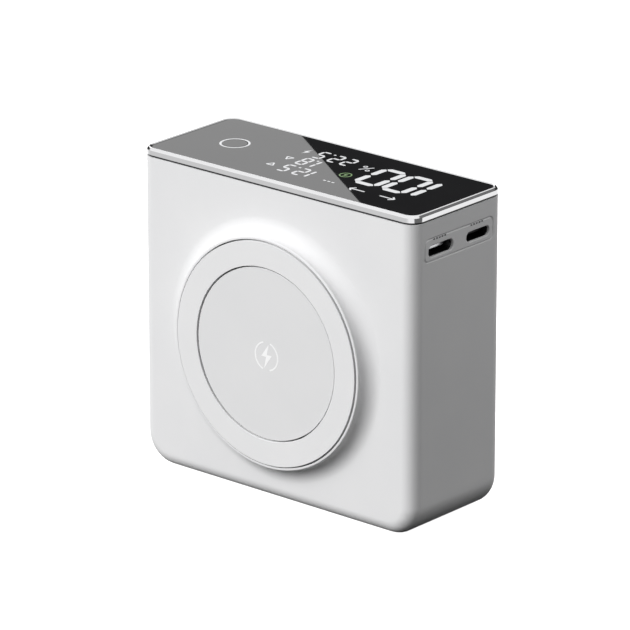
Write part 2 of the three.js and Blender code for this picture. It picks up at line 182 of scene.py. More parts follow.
def quarter_turn(steps):
    """(sine, cosine) pairs of evenly spaced angles from 0 to 90 degrees."""
    angles = [math.pi / 2 * step / steps for step in range(steps + 1)]
    return [(math.sin(angle), math.cos(angle)) for angle in angles]


def rounded_outline(width, height, lower_radius, upper_radius=None, centre=(0, 0), steps=10):
    """Points of a rectangle with round corners, anticlockwise from its lower right corner."""
    if upper_radius is None:
        upper_radius = lower_radius
    points = []
    corners = ((1, -1, lower_radius), (1, 1, upper_radius), (-1, 1, upper_radius), (-1, -1, lower_radius))
    for turn, (side, end, radius) in enumerate(corners):
        middle_u = centre[0] + side * (width / 2 - radius)
        middle_v = centre[1] + end * (height / 2 - radius)
        for step in range(steps + 1):
            angle = math.pi / 2 * (turn - 1 + step / steps)
            points.append((middle_u + radius * math.cos(angle), middle_v + radius * math.sin(angle)))
    return points


def stacked(name, plane, loops, closed=False):
    """A solid through loops of equally many points, each given as (points, position across the plane)."""
    builder = bmesh.new()
    point_in = PLANES[plane]
    rows = [[builder.verts.new(point_in(u, v, across)) for u, v in points] for points, across in loops]
    pairs = list(zip(rows, rows[1:]))
    if closed:
        pairs.append((rows[-1], rows[0]))
    else:
        builder.faces.new(rows[0])
        builder.faces.new(rows[-1])
    for low, high in pairs:
        for index in range(len(low)):
            after = (index + 1) % len(low)
            builder.faces.new((low[index], low[after], high[after], high[index]))
    return new_object(name, builder)


def edge_profile(low, high, low_round, high_round, steps):
    """(inset, position) pairs for a wall from low to high whose ends are rounded."""
    profile = []
    if low_round:
        profile += [(low_round * (1 - sine), low + low_round * (1 - cosine))
                    for sine, cosine in quarter_turn(steps)[:-1]]
    profile += [(0, low + low_round), (0, high - high_round)]
    if high_round:
        profile += [(high_round * (1 - cosine), high - high_round * (1 - sine))
                    for sine, cosine in quarter_turn(steps)[1:]]
    return profile


def filleted(corners, radius, steps=FINE_EDGE_STEPS):
    """An open line through the corners with each inner corner rounded."""
    points = [corners[0]]
    for before, corner, after in zip(corners, corners[1:], corners[2:]):
        corner = Vector(corner)
        start = corner + (Vector(before) - corner).normalized() * radius
        end = corner + (Vector(after) - corner).normalized() * radius
        for step in range(steps + 1):
            share = step / steps
            points.append(tuple(start.lerp(corner, share).lerp(corner.lerp(end, share), share)))
    return points + [corners[-1]]


def slab(name, plane, outline, low, high, low_round=0.0, high_round=0.0, steps=6):
    """An extruded outline with rounded ends. outline(inset) gives the outline drawn smaller."""
    profile = edge_profile(low, high, low_round, high_round, steps)
    return stacked(name, plane, [(outline(inset), across) for inset, across in profile])


def turned(name, profile, steps=ROUND_STEPS):
    """A closed profile of (radius, height) points turned about Z."""
    builder = bmesh.new()
    angles = [2 * math.pi * step / steps for step in range(steps)]
    rows = []
    for radius, height in profile:
        if radius == 0:
            rows.append([builder.verts.new((0, 0, height))] * steps)
        else:
            rows.append([builder.verts.new((radius * math.cos(angle), radius * math.sin(angle), height))
                         for angle in angles])
    for low, high in zip(rows, rows[1:] + rows[:1]):
        along_the_axis = low[0] is low[1] and high[0] is high[1]
        if along_the_axis:
            continue
        for index in range(steps):
            after = (index + 1) % steps
            once_each = dict.fromkeys((low[index], low[after], high[after], high[index]))
            builder.faces.new(list(once_each))
    return new_object(name, builder)


def onto_pad(piece):
    """Turns a piece made about Z to stand out of the front face at the pad's centre."""
    for vertex in piece.data.vertices:
        x, y, z = vertex.co
        vertex.co = (x, -FACE_Y * METRES - z, PAD_Z * METRES + y)
    piece.data.update()
    return piece


def onto_button(piece):
    """Shifts a piece made about Z to the button's axis."""
    for vertex in piece.data.vertices:
        vertex.co.x += BUTTON_X * METRES
        vertex.co.y += BUTTON_Y * METRES
    piece.data.update()
    return piece


def combined(base, tools, operation="DIFFERENCE"):
    """Joins the tools to the base, or cuts them from it, removes them and cleans the mesh."""
    for tool in tools:
        modifier = base.modifiers.new("combine", "BOOLEAN")
        modifier.operation = operation
        modifier.solver = "EXACT"
        modifier.object = tool
        ready = bpy.context.evaluated_depsgraph_get()
        mesh = bpy.data.meshes.new_from_object(base.evaluated_get(ready))
        base.modifiers.remove(modifier)
        base.data = mesh
        bpy.data.objects.remove(tool)
    builder = bmesh.new()
    builder.from_mesh(base.data)
    bmesh.ops.triangulate(builder, faces=builder.faces)
    bmesh.ops.dissolve_degenerate(builder, dist=SAME_POINT_METRES, edges=builder.edges)
    bmesh.ops.remove_doubles(builder, verts=builder.verts, dist=SAME_POINT_METRES)
    builder.to_mesh(base.data)
    builder.free()
    return base


def shade(piece):
    """Smooth shading that keeps the flat faces flat."""
    for polygon in piece.data.polygons:
        polygon.use_smooth = True
    piece.data.set_sharp_from_angle(angle=math.radians(SHARP_DEGREES))
    weighted = piece.modifiers.new("weighted_normals", "WEIGHTED_NORMAL")
    weighted.keep_sharp = True
    weighted.weight = FLAT_FACE_WEIGHT


# ---- Materials ----

NOISE_MIDDLE = (0.3, 0.7)  # the span that most of a noise texture's values fall in
NOISE_DETAIL = 3.0
PORE_GRAIN = 3000
PORE_SHADE = 0.86
UNLIT_COLOUR = (0.04, 0.04, 0.04, 1)


def node_material(name):
    """A new material with its nodes, links and shader."""
    material = bpy.data.materials.new(name)
    material.use_nodes = True
    nodes = material.node_tree.nodes
    links = material.node_tree.links
    return material, nodes, links, nodes["Principled BSDF"]


def noise(nodes, links, scale, detail=NOISE_DETAIL, stretch=(1, 1, 1)):
    """Noise over the piece's own coordinates, with scale in waves per metre."""
    coordinates = nodes.new("ShaderNodeTexCoord")
    mapping = nodes.new("ShaderNodeMapping")
    mapping.inputs["Scale"].default_value = stretch
    texture = nodes.new("ShaderNodeTexNoise")
    texture.inputs["Scale"].default_value = scale
    texture.inputs["Detail"].default_value = detail
    links.new(coordinates.outputs["Object"], mapping.inputs["Vector"])
    links.new(mapping.outputs["Vector"], texture.inputs["Vector"])
    return texture


def set_range(node, start, end, low, high):
    """Sets a map range node to carry the span start..end to the span low..high."""
    for name, number in (("From Min", start), ("From Max", end), ("To Min", low), ("To Max", high)):
        node.inputs[name].default_value = number


def ramp_between(nodes, links, texture, low, high):
    """Maps a texture's middle range to a value between low and high."""
    ranged = nodes.new("ShaderNodeMapRange")
    set_range(ranged, *NOISE_MIDDLE, low, high)
    links.new(texture.outputs["Fac"], ranged.inputs["Value"])
    return ranged.outputs["Result"]


def mixed_colour(nodes, links, factor, first, second):
    """A colour between two others."""
    mix = nodes.new("ShaderNodeMix")
    mix.data_type = "RGBA"
    mix.inputs["A"].default_value = (*first, 1)
    mix.inputs["B"].default_value = (*second, 1)
    links.new(factor, mix.inputs["Factor"])
    return mix.outputs["Result"]


def textured_material(name, colours, roughness, grain, metallic=0.0, bump=0.0, coat=0.0,
                      patch=60, stretch=(1, 1, 1)):
    """Colour drifting between two tones, roughness that varies, and a fine surface grain.

    grain and patch are in waves per metre and bump is the grain's depth in metres."""
    material, nodes, links, shader = node_material(name)
    drift = noise(nodes, links, patch)
    tone = mixed_colour(nodes, links, ramp_between(nodes, links, drift, 0, 1), *colours)
    links.new(tone, shader.inputs["Base Color"])
    fine = noise(nodes, links, grain, stretch=stretch)
    links.new(ramp_between(nodes, links, fine, *roughness), shader.inputs["Roughness"])
    shader.inputs["Metallic"].default_value = metallic
    shader.inputs["Coat Weight"].default_value = coat
    shader.inputs["Coat Roughness"].default_value = 0.03
    if bump:
        relief = nodes.new("ShaderNodeBump")
        relief.inputs["Distance"].default_value = bump
        relief.inputs["Strength"].default_value = 1.0
        links.new(fine.outputs["Fac"], relief.inputs["Height"])
        links.new(relief.outputs["Normal"], shader.inputs["Normal"])
    return material


def lit_material(name, colour, strength):
    """Figures that glow, with small darker pores as printed masks have."""
    material, nodes, links, shader = node_material(name)
    pores = noise(nodes, links, PORE_GRAIN, detail=2.0)
    dimmed = tuple(value * PORE_SHADE for value in colour)
    tone = mixed_colour(nodes, links, ramp_between(nodes, links, pores, 0, 1), dimmed, colour)
    links.new(tone, shader.inputs["Emission Color"])
    shader.inputs["Base Color"].default_value = UNLIT_COLOUR
    shader.inputs["Emission Strength"].default_value = strength
    shader.inputs["Roughness"].default_value = 0.2
    return material


FINISHES = {
    "white_plastic": dict(colours=((0.775, 0.777, 0.785), (0.80, 0.80, 0.805)), roughness=(0.40, 0.48),
                          grain=2600, bump=3e-6),
    "pad_plastic": dict(colours=((0.785, 0.787, 0.792), (0.805, 0.805, 0.81)), roughness=(0.52, 0.62),
                        grain=3800, bump=5e-6),
    "disc_plastic": dict(colours=((0.74, 0.742, 0.748), (0.76, 0.76, 0.764)), roughness=(0.5, 0.6),
                         grain=3800, bump=4e-6),
    "chrome": dict(colours=((0.86, 0.86, 0.87), (0.9, 0.9, 0.91)), roughness=(0.05, 0.09),
                   metallic=1.0, grain=1500, bump=4e-7),
    "black_gloss": dict(colours=((0.010, 0.010, 0.011), (0.013, 0.013, 0.014)), roughness=(0.004, 0.012),
                        grain=900),
    "black_plastic": dict(colours=((0.012, 0.012, 0.013), (0.022, 0.022, 0.024)), roughness=(0.4, 0.6),
                          grain=3000, bump=6e-6),
    "light_plastic": dict(colours=((0.84, 0.85, 0.86), (0.92, 0.92, 0.92)), roughness=(0.3, 0.42),
                          grain=2600, bump=3e-6),
    "circuit_board": dict(colours=((0.008, 0.07, 0.03), (0.02, 0.13, 0.06)), roughness=(0.25, 0.5),
                          grain=1400, bump=1e-5, patch=700, coat=0.3),
    "chip": dict(colours=((0.012, 0.012, 0.013), (0.03, 0.03, 0.03)), roughness=(0.5, 0.7),
                 grain=5000, bump=8e-6),
    "steel": dict(colours=((0.50, 0.51, 0.53), (0.66, 0.67, 0.69)), roughness=(0.18, 0.34),
                  metallic=1.0, grain=1500, bump=4e-6, stretch=(1, 1, 12)),
    "dark_steel": dict(colours=((0.05, 0.05, 0.053), (0.09, 0.09, 0.095)), roughness=(0.35, 0.5),
                       metallic=1.0, grain=1800, bump=3e-6),
    "copper": dict(colours=((0.62, 0.27, 0.13), (0.80, 0.42, 0.24)), roughness=(0.25, 0.4),
                   metallic=1.0, grain=2500, bump=1e-5),
    "ferrite": dict(colours=((0.03, 0.03, 0.033), (0.07, 0.07, 0.075)), roughness=(0.55, 0.8),
                    grain=3500, bump=1e-5),
    "cell_pouch": dict(colours=((0.52, 0.53, 0.55), (0.68, 0.69, 0.71)), roughness=(0.25, 0.45),
                       metallic=1.0, grain=260, bump=1.2e-4),
    "bright_metal": dict(colours=((0.66, 0.67, 0.69), (0.8, 0.8, 0.82)), roughness=(0.2, 0.32),
                         metallic=1.0, grain=1800, bump=4e-6),
    "foam": dict(colours=((0.02, 0.02, 0.022), (0.06, 0.06, 0.065)), roughness=(0.85, 1.0),
                 grain=1600, bump=1.5e-4),
    "flex_cable": dict(colours=((0.38, 0.17, 0.03), (0.55, 0.28, 0.06)), roughness=(0.25, 0.4),
                       grain=1100, bump=5e-6, coat=0.3),
    "grey_print": dict(colours=((0.12, 0.12, 0.125), (0.2, 0.2, 0.2)), roughness=(0.5, 0.6), grain=3000),
    "white_print": dict(colours=((0.93, 0.93, 0.94), (0.98, 0.98, 0.98)), roughness=(0.3, 0.4),
                        grain=3000),
}
MATERIALS = {name: textured_material(name, **finish) for name, finish in FINISHES.items()}
MATERIALS["white_figures"] = lit_material("white_figures", (0.93, 0.94, 0.96), 0.8)
MATERIALS["green_figures"] = lit_material("green_figures", (0.50, 1.0, 0.28), 0.3)

slot_of = {part["node"]: part["material_slot"] for part in frame["record"]["subparts"]}
for node, shape in frame["nodes"].items():
    finish = MATERIALS["dark_steel" if node.startswith("port_shell") else slot_of[node]]
    if not shape.material_slots:
        shape.data.materials.append(finish)
    for material_slot in shape.material_slots:
        material_slot.material = finish


def place(piece, node=None, body="case", slot=None, finish=None):
    """Gives a finished piece its material, shading and body, and hides the CAD node that it stands for."""
    slot = slot or slot_of[node]
    piece.data.materials.clear()
    piece.data.materials.append(MATERIALS[finish or slot])
    shade(piece)
    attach(piece, body)
    if node:
        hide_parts(node)


# ---- Housing ----

def body_outline(inset):
    """Front view of the shell, with a square top above the rim."""
    low = inset
    high = RIM_Z + ABOVE_RIM
    width = 2 * (SIDE_X - inset)
    return rounded_outline(width, high - low, LOWER_CORNER_RADIUS - inset, SQUARE_CORNER_RADIUS,
                           centre=(0, (low + high) / 2), steps=EDGE_STEPS)


def cover_outline(inset):
    """Rear view of the cover. A negative inset gives its recess and a positive one its opening."""
    width = cover_high[0] - cover_low[0] - 2 * inset
    height = cover_high[2] - cover_low[2] - 2 * inset
    centre = (0, (cover_low[2] + cover_high[2]) / 2)
    return rounded_outline(width, height, COVER_CORNER_RADIUS - inset, centre=centre,
                           steps=SMALL_CORNER_STEPS)


def top_outline(inset, radius):
    """Top view of the object, drawn smaller by the inset."""
    return rounded_outline(2 * (SIDE_X - inset), 2 * (FACE_Y - inset), radius, steps=TOP_CORNER_STEPS)


def plate_outline(inset):
    """Side view of the port plate. A negative inset gives its recess."""
    width = plate_high[1] - plate_low[1] - 2 * inset
    height = plate_high[2] - plate_low[2] - 2 * inset
    return rounded_outline(width, height, PLATE_CORNER_RADIUS - inset, centre=(0, PLATE_Z),
                           steps=SMALL_CORNER_STEPS)


def boss_profile():
    """A hollow quarter of an ellipse from the face up to a narrow rounded lip."""
    flare = BOSS_BASE_RADIUS - BOSS_RADIUS
    rise = BOSS_HEIGHT - BOSS_LIP_RADIUS
    points = [(0, -WALL / 2), (BOSS_BASE_RADIUS, -WALL / 2)]
    points += [(BOSS_BASE_RADIUS - flare * sine, rise * (1 - cosine))
               for sine, cosine in quarter_turn(FLARE_STEPS)]
    points += [(BOSS_RADIUS - BOSS_LIP_RADIUS * (1 - cosine), BOSS_HEIGHT - BOSS_LIP_RADIUS * (1 - sine))
               for sine, cosine in quarter_turn(LIP_STEPS)[1:]]
    points.append((0, BOSS_HEIGHT))
    return points


def pocket_profile():
    """The round pocket for the pad, with a small chamfer at its mouth."""
    radius = PAD_RADIUS + POCKET_GAP
    mouth_radius = radius + POCKET_EDGE
    return [(0, POCKET_FLOOR), (radius, POCKET_FLOOR), (radius, BOSS_HEIGHT - POCKET_EDGE),
            (mouth_radius, BOSS_HEIGHT), (mouth_radius, BOSS_HEIGHT + PAST), (0, BOSS_HEIGHT + PAST)]


def above_the_rim():
    """A cutting block over everything above the rim."""
    reach = 60
    height = 20
    square = [(reach, -reach), (reach, reach), (-reach, reach), (-reach, -reach)]
    return stacked("tool", "xy", [(square, RIM_Z), (square, RIM_Z + height)])


def make_housing():
    """The shell with its boss, cavity, mouth, cover seat, pad pocket and port openings."""
    shell = slab("housing", "xz", body_outline, -FACE_Y, FACE_Y, EDGE_RADIUS, EDGE_RADIUS, EDGE_STEPS)
    combined(shell, [onto_pad(turned("tool", boss_profile()))], "UNION")
    cavity_rear = cover_low[1] - CAVITY_GAP
    recess = plate_outline(-PLATE_GAP)
    recess_mouth = plate_outline(-PLATE_GAP - PLATE_EDGE)
    tools = [
        above_the_rim(),
        slab("tool", "xz", lambda inset: body_outline(WALL + inset), WALL - FACE_Y, cavity_rear,
             INNER_EDGE_RADIUS, 0),
        slab("tool", "xy", lambda inset: top_outline(WALL + inset, MOUTH_CORNER_RADIUS),
             MOUTH_FLOOR_Z, RIM_Z + PAST),
        slab("tool", "xz", lambda inset: cover_outline(COVER_SEAT_WIDTH + inset),
             cavity_rear - PAST, FACE_Y + PAST),
        slab("tool", "xz", lambda inset: cover_outline(inset - COVER_GAP),
             cover_low[1] + COVER_SEAT_DEPTH, FACE_Y + PAST),
        onto_pad(turned("tool", pocket_profile())),
        stacked("tool", "yz", [(recess, plate_low[0] - PLATE_SEAT_GAP), (recess, SIDE_X - PLATE_EDGE),
                               (recess_mouth, SIDE_X), (recess_mouth, SIDE_X + PAST)]),
    ]
    for side in PORT_MOUTHS:
        hole = rounded_outline(*PORT_HOLE, centre=port_centre(side))
        tools.append(stacked("tool", "yz", [(hole, SIDE_X - WALL - PAST), (hole, SIDE_X)]))
    combined(shell, tools)
    place(shell, "front_housing")


def make_cover():
    """The flush rear cover."""
    cover = slab("back_cover", "xz", cover_outline, cover_low[1] + COVER_RIM_DEPTH, FACE_Y,
                 0, COVER_EDGE, 3)
    place(cover, "rear_cover")


def make_port_plate():
    """The plate around the ports, with a chamfered mouth for each."""
    plate = slab("port_panel", "yz", plate_outline, plate_low[0], SIDE_X, 0, PLATE_EDGE, 1)
    tools = []
    for side, (width, height, radius) in PORT_MOUTHS.items():
        centre = port_centre(side)
        mouth = rounded_outline(width, height, radius, centre=centre)
        rim = rounded_outline(width + 2 * MOUTH_EDGE, height + 2 * MOUTH_EDGE, radius + MOUTH_EDGE,
                              centre=centre)
        tools.append(stacked("tool", "yz", [(mouth, plate_low[0] - PAST), (mouth, SIDE_X - MOUTH_EDGE),
                                            (rim, SIDE_X), (rim, SIDE_X + PAST)]))
    combined(plate, tools)
    place(plate, "port_plate")


make_housing()
make_cover()
make_port_plate()


# ---- Charging pad ----

def rounded_ring_profile(inner, outer, low, high, edge, steps=FINE_EDGE_STEPS):
    """Closed section of a ring whose two upper edges are rounded."""
    points = [(inner, low), (outer, low)]
    points += [(outer - edge * (1 - cosine), high - edge * (1 - sine))
               for sine, cosine in quarter_turn(steps)]
    points += [(inner + edge * (1 - sine), high - edge * (1 - cosine))
               for sine, cosine in quarter_turn(steps)]
    return points


def rounded_disc_profile(radius, low, high, edge):
    """Closed section of a disc with a rounded upper edge and a narrow flat band inside it."""
    points = [(0, low), (radius, low)]
    points += [(radius - edge * (1 - cosine), high - edge * (1 - sine))
               for sine, cosine in quarter_turn(FINE_EDGE_STEPS)]
    points += [(radius - 4 * edge, high), (0, high)]
    return points


def make_pad():
    """The raised ring and the disc set back in it."""
    ring_profile = rounded_ring_profile(DISC_RADIUS + RING_GAP, PAD_RADIUS, PAD_HEIGHT - PAD_DEPTH,
                                        PAD_HEIGHT, RING_EDGE)
    place(onto_pad(turned("charging_ring", ring_profile)), "pad_ring")
    disc_profile = rounded_disc_profile(DISC_RADIUS - DISC_GAP, BOSS_HEIGHT - DISC_DEPTH, BOSS_HEIGHT,
                                        DISC_EDGE)
    place(onto_pad(turned("charging_disc", disc_profile)), "pad_disc", finish="disc_plastic")


make_pad()


# ---- Top frame, lens and button ----

def make_top_frame():
    """A band with a steep chamfer outside, a gentler one on top, and a bevel down to the lens."""
    base, top = frame_low[2], frame_high[2]
    crease_inset, crease_depth = CREASE
    corners = [(0, base), (0, top - CHAMFER_DEPTH), (crease_inset, top - crease_depth), (CREST_INSET, top),
               (FRAME_WIDTH, lens_high[2]), (FRAME_WIDTH, base)]
    loops = []
    for inset, height in filleted(corners, FRAME_EDGE):
        loops.append((top_outline(inset, EDGE_RADIUS - inset), height))
    place(stacked("chrome_frame", "xy", loops, closed=True), "top_frame")


def make_lens():
    """The glossy lens, with a hole for the light ring."""
    lens = slab("lens", "xy",
                lambda inset: top_outline(FRAME_WIDTH + LENS_GAP + inset, LENS_CORNER_RADIUS - inset),
                lens_low[2], lens_high[2], 0, LENS_EDGE, 1)
    hole_radius = LIGHT_RADIUS + LIGHT_GAP
    below, above = lens_low[2] - PAST, lens_high[2] + PAST
    hole = [(0, below), (hole_radius, below), (hole_radius, above), (0, above)]
    combined(lens, [onto_button(turned("tool", hole, SMALL_ROUND_STEPS))])
    place(lens, "display_lens")


def make_button():
    """The light ring, and the cap with its flange below."""
    ring_profile = rounded_ring_profile(CAP_RADIUS + CAP_GAP, LIGHT_RADIUS, light_low[2], light_high[2],
                                        LIGHT_EDGE, 2)
    place(onto_button(turned("light_ring", ring_profile, SMALL_ROUND_STEPS)), "button_light_ring",
          finish="white_figures")
    flange_radius = (button_high[0] - button_low[0]) / 2
    flange_top = button_low[2] + CAP_FLANGE_DEPTH
    profile = [(0, button_low[2]), (flange_radius, button_low[2]), (flange_radius, flange_top)]
    profile += rounded_disc_profile(CAP_RADIUS, flange_top, button_high[2], CAP_EDGE)[1:]
    place(onto_button(turned("button_cap", profile, SMALL_ROUND_STEPS)), "power_button", "button")


make_top_frame()
make_lens()
make_button()


# ---- Flat marks: figures, icons and legends ----

MARK_THICKNESS = 0.02
NEARLY_ROUND = (0, 359)  # a circle's line, left open by a hair so that its outline never meets itself
SEGMENTS_ON = {"0": "abcdef", "1": "bc", "2": "abged", "5": "afgcd", "8": "abcdefg"}

# The readout is laid out in reading direction: u runs towards -X and v towards -Y.
BIG_LEFTS = (-37.3, -28.55, -20.3)
BIG_DIGIT = {"low": -9.05, "width": 7.5, "height": 13.4, "stroke": 1.62, "gap": 0.2}
SMALL_LEFTS = (-4.75, -0.85, 3.75)
SMALL_ROWS = {-9.2: "225", -2.95: " 18", 3.6: "125"}
SMALL_DIGIT = {"width": 2.8, "height": 5.45, "stroke": 0.62, "gap": 0.09}
POINT_SPAN = (2.5, 3.1)
POINT_HEIGHT = 0.55
PERCENT_CENTRE = (-9.6, -5.5)
BOLT_CENTRE = (9.7, -6.4)
TRIANGLES = (((9.8, 0.0), 1), ((9.9, 6.4), -1))  # centre, and which way it points
ARROWS = (((-18.4, 8.3), 1), ((-27.4, 8.2), -1))
DASH_LEFTS = (-10.9, -9.6, -8.3)
DASH_V = 7.75
DASH_LENGTH = 0.8
CHARGE_STATE_CENTRE = (-9.0, 1.4)

PAD_MARK_X = 0.3
PAD_MARK_DROP = 0.45
PAD_MARK_ARCS = ((106, 251), (286, 431))  # degrees

LEGEND_OFFSETS = (-2.0, -1.0, 0, 1.0, 2.0)
LEGEND_SHIFT = 0.5
LEGEND_DROP = 0.22  # below the plate's top edge
LEGEND_HALF_DASH = 0.3


def segment(start, end, width):
    """A seven-segment bar with pointed ends."""
    start, end = Vector(start), Vector(end)
    along = (end - start).normalized()
    across = Vector((-along.y, along.x)) * width / 2
    shoulder = along * width / 2
    return [start, start + shoulder - across, end - shoulder - across, end,
            end - shoulder + across, start + shoulder + across]


def bar(start, end, width):
    """A plain straight stroke."""
    start, end = Vector(start), Vector(end)
    across = Vector((start.y - end.y, end.x - start.x)).normalized() * width / 2
    return [start - across, end - across, end + across, start + across]


def arc_band(centre, radius, width, span, steps):
    """Part of a circle's line, over a span of degrees."""
    start, end = span
    angles = [math.radians(start + (end - start) * step / steps) for step in range(steps + 1)]
    rays = [Vector((math.cos(angle), math.sin(angle))) for angle in angles]
    outer = [Vector(centre) + ray * (radius + width / 2) for ray in rays]
    inner = [Vector(centre) + ray * (radius - width / 2) for ray in rays]
    return outer + inner[::-1]


def bolt(centre, height):
    """A lightning bolt, drawn on a unit height about its centre."""
    shape = [(0.12, 0.5), (-0.27, -0.03), (-0.02, -0.03), (-0.12, -0.5), (0.27, 0.06), (0.03, 0.06)]
    return [Vector(centre) + Vector(point) * height for point in shape]


def digit(character, left, low, width, height, stroke, gap):
    """Bars of a seven-segment figure in reading direction."""
    edge = stroke / 2
    x = (left + edge, left + width - edge)
    y = (low + edge, low + height / 2, low + height - edge)
    lines = {"a": ((0, 2), (1, 2)), "b": ((1, 1), (1, 2)), "c": ((1, 0), (1, 1)), "d": ((0, 0), (1, 0)),
             "e": ((0, 0), (0, 1)), "f": ((0, 1), (0, 2)), "g": ((0, 1), (1, 1))}
    bars = []
    for name in SEGMENTS_ON[character]:
        (column, row), (end_column, end_row) = lines[name]
        start = Vector((x[column], y[row]))
        end = Vector((x[end_column], y[end_row]))
        pull = (end - start).normalized() * gap
        bars.append(segment(start + pull, end - pull, stroke))
    return bars


def percent_sign(centre):
    """Two small circles and a stroke between them."""
    half_width = 1.1
    circle_offset = 1.0
    half_height = 1.6
    circles = [arc_band((centre[0] + side * half_width, centre[1] - side * circle_offset), radius=0.45,
                        width=0.3, span=NEARLY_ROUND, steps=20) for side in (-1, 1)]
    stroke = bar((centre[0] - half_width, centre[1] - half_height),
                 (centre[0] + half_width, centre[1] + half_height), width=0.35)
    return circles + [stroke]


def triangle(centre, way):
    """Three strokes round an equal-sided triangle that points along v, or against it."""
    radius = 1.15
    stroke = 0.38
    corners = [(centre[0] + radius * math.sin(turn * 2 * math.pi / 3),
                centre[1] + radius * way * math.cos(turn * 2 * math.pi / 3)) for turn in range(3)]
    return [bar(start, end, stroke) for start, end in zip(corners, corners[1:] + corners[:1])]


def arrow(centre, way):
    """A shaft with a two-stroke head that points along u, or against it."""
    half_length = 2.2
    head = 1.1
    stroke = 0.45
    tail = (centre[0] - half_length * way, centre[1])
    tip = (centre[0] + half_length * way, centre[1])
    return [bar(tail, tip, stroke)] + [bar((tip[0] - head * way, tip[1] + head * side), tip, stroke)
                                       for side in (-1, 1)]


def flat_marks(name, polygons, plane, low, high, finish, slot):
    """Thin raised shapes of the given outlines, between two positions across the plane."""
    builder = bmesh.new()
    point_in = PLANES[plane]
    for outline in polygons:
        rows = [[builder.verts.new(point_in(u, v, across)) for u, v in outline] for across in (low, high)]
        builder.faces.new(rows[0])
        builder.faces.new(rows[1])
        for index in range(len(outline)):
            after = (index + 1) % len(outline)
            builder.faces.new((rows[0][index], rows[0][after], rows[1][after], rows[1][index]))
    builder.normal_update()
    bmesh.ops.triangulate(builder, faces=[face for face in builder.faces if len(face.verts) > 4])
    place(new_object(name, builder), slot=slot, finish=finish)


def display_figures():
    """The charge in big figures, and three rows of small ones with their decimal points."""
    shapes = []
    for left, character in zip(BIG_LEFTS, "100"):
        shapes += digit(character, left, **BIG_DIGIT)
    for low, characters in SMALL_ROWS.items():
        for left, character in zip(SMALL_LEFTS, characters):
            if character != " ":
                shapes += digit(character, left, low, **SMALL_DIGIT)
        point_v = low + POINT_HEIGHT
        shapes.append(bar((POINT_SPAN[0], point_v), (POINT_SPAN[1], point_v), POINT_HEIGHT))
    return shapes


def display_icons():
    """Unit and state marks: plain strokes, arrows and circles in place of lettering."""
    shapes = percent_sign(PERCENT_CENTRE)
    shapes.append(bolt(BOLT_CENTRE, height=3.2))
    for centre, way in TRIANGLES:
        shapes += triangle(centre, way)
    for centre, way in ARROWS:
        shapes += arrow(centre, way)
    for left in DASH_LEFTS:
        shapes.append(bar((left, DASH_V), (left + DASH_LENGTH, DASH_V), width=0.42))
    return shapes


def charge_state():
    """A bolt in a circle."""
    return [arc_band(CHARGE_STATE_CENTRE, radius=1.45, width=0.3, span=NEARLY_ROUND, steps=48),
            bolt(CHARGE_STATE_CENTRE, height=2.1)]


def make_display_marks():
    """Lit shapes on the lens, turned half round because they are read from the back."""
    marks = (("display_figures", display_figures(), "white_figures"),
             ("display_icons", display_icons(), "white_figures"),
             ("charge_state_icon", charge_state(), "green_figures"))
    for name, shapes, finish in marks:
        turned_round = [[(-u, -v) for u, v in outline] for outline in shapes]
        flat_marks(name, turned_round, "xy", lens_high[2], lens_high[2] + MARK_THICKNESS,
                   finish, "light_plastic")


def make_pad_mark():
    """A bolt between two arcs, printed near the middle of the disc."""
    centre = (PAD_MARK_X, PAD_Z - PAD_MARK_DROP)
    face = -FACE_Y - BOSS_HEIGHT
    shapes = [arc_band(centre, radius=3.5, width=0.36, span=span, steps=30) for span in PAD_MARK_ARCS]
    shapes.append(bolt(centre, height=6.1))
    flat_marks("pad_mark", shapes, "xz", face - MARK_THICKNESS, face, "white_print", "pad_plastic")


def make_port_marks():
    """A row of plain dashes above each port in place of its legend."""
    height = plate_high[2] - LEGEND_DROP
    shapes = []
    for side in PORT_MOUTHS:
        for offset in LEGEND_OFFSETS:
            middle = port_centre(side)[0] - LEGEND_SHIFT + offset
            shapes.append(bar((middle - LEGEND_HALF_DASH, height), (middle + LEGEND_HALF_DASH, height),
                              width=0.4))
    flat_marks("port_marks", shapes, "yz", SIDE_X - MARK_THICKNESS / 2, SIDE_X,
               "grey_print", "black_plastic")


make_display_marks()
make_pad_mark()
make_port_marks()


# ---- Camera, with distances in metres ----

CAMERA_AZIMUTH = math.radians(40.69)
CAMERA_ELEVATION = math.radians(19.31)
CAMERA_DISTANCE = 1.309
CAMERA_SHIFT_RIGHT = -0.0013
CAMERA_SHIFT_UP = 0.0402
SENSOR_MM = 36.0
FOCAL_LENGTH_MM = 309.7


def make_camera():
    """A long lens that looks slightly down at the front and the right side."""
    back = Vector((math.sin(CAMERA_AZIMUTH) * math.cos(CAMERA_ELEVATION),
                   -math.cos(CAMERA_AZIMUTH) * math.cos(CAMERA_ELEVATION),
                   math.sin(CAMERA_ELEVATION)))
    right = Vector((math.cos(CAMERA_AZIMUTH), math.sin(CAMERA_AZIMUTH), 0))
    up = back.cross(right)
    data = bpy.data.cameras.new("camera")
    data.lens = FOCAL_LENGTH_MM
    data.sensor_width = SENSOR_MM
    data.clip_start = 0.05
    data.clip_end = 50
    camera = bpy.data.objects.new("camera", data)
    camera.location = back * CAMERA_DISTANCE + right * CAMERA_SHIFT_RIGHT + up * CAMERA_SHIFT_UP
    camera.rotation_euler = (-back).to_track_quat("-Z", "Y").to_euler()
    bpy.context.collection.objects.link(camera)
    bpy.context.scene.camera = camera
    return camera


# ---- Floor and light, in metres ----

FLOOR_HALF_SIZE = 6.0
FLOOR_CLEARANCE = 0.0001
LIGHT_TARGET = (0, 0, 0.04)  # near the middle of the object

